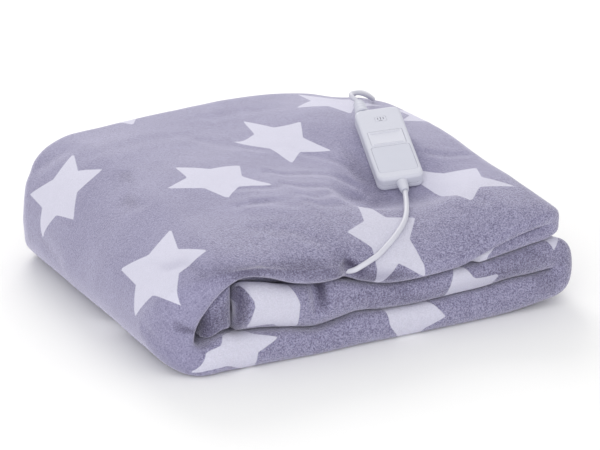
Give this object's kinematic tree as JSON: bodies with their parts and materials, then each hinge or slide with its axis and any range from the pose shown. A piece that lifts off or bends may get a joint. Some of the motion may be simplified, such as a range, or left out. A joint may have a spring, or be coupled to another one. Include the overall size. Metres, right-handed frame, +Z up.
{
  "type": "electric heated blanket",
  "caption": "Folded fleece electric blanket with star motif, a flat hand controller lying on top, its lead into the cloth, and a coiled mains lead with plug behind.",
  "frame": {"origin": "on the floor under the middle of the folded bundle, at the bottom centre of the blanket with its controller, measured without the mains lead, its coil and its plug", "axes": "+X to the right along the bundle's long front edge as pictured, +Y into its depth towards the back where the mains lead hangs down, +Z up"},
  "size_m": [0.4692, 0.5092, 0.1665],
  "materials": {
    "lavender_fleece": "fleece with a short soft pile, with white stars in its print",
    "white_plastic": "smooth satin moulding",
    "grey_window": "glossy, translucent",
    "white_cord": "soft satin sheath",
    "white_strap": "matte",
    "plated_pin": "bright nickel plating"
  },
  "bodies": {
    "root": {"blanket": "lavender_fleece", "controller_base": "white_plastic", "controller_cover": "white_plastic", "face_panel": "white_plastic", "indicator_window": "grey_window", "lead_relief": "white_plastic", "mains_relief": "white_plastic", "blanket_lead": "white_cord", "mains_lead": "white_cord", "mains_coil": "white_cord", "coil_tie": "white_strap", "mains_tail": "white_cord", "plug_body": "white_plastic", "plug_sleeve": "white_plastic", "plug_pin_left": "plated_pin", "plug_pin_right": "plated_pin"},
    "button": {"press_button": "white_plastic"}
  },
  "joints": [
    {"name": "button_press", "type": "slide", "parent": "root", "child": "button", "axis": [0.1669, 0.2677, -0.9489], "range_m": [0, 0.0012], "stiffness_N_per_m": 600}
  ]
}
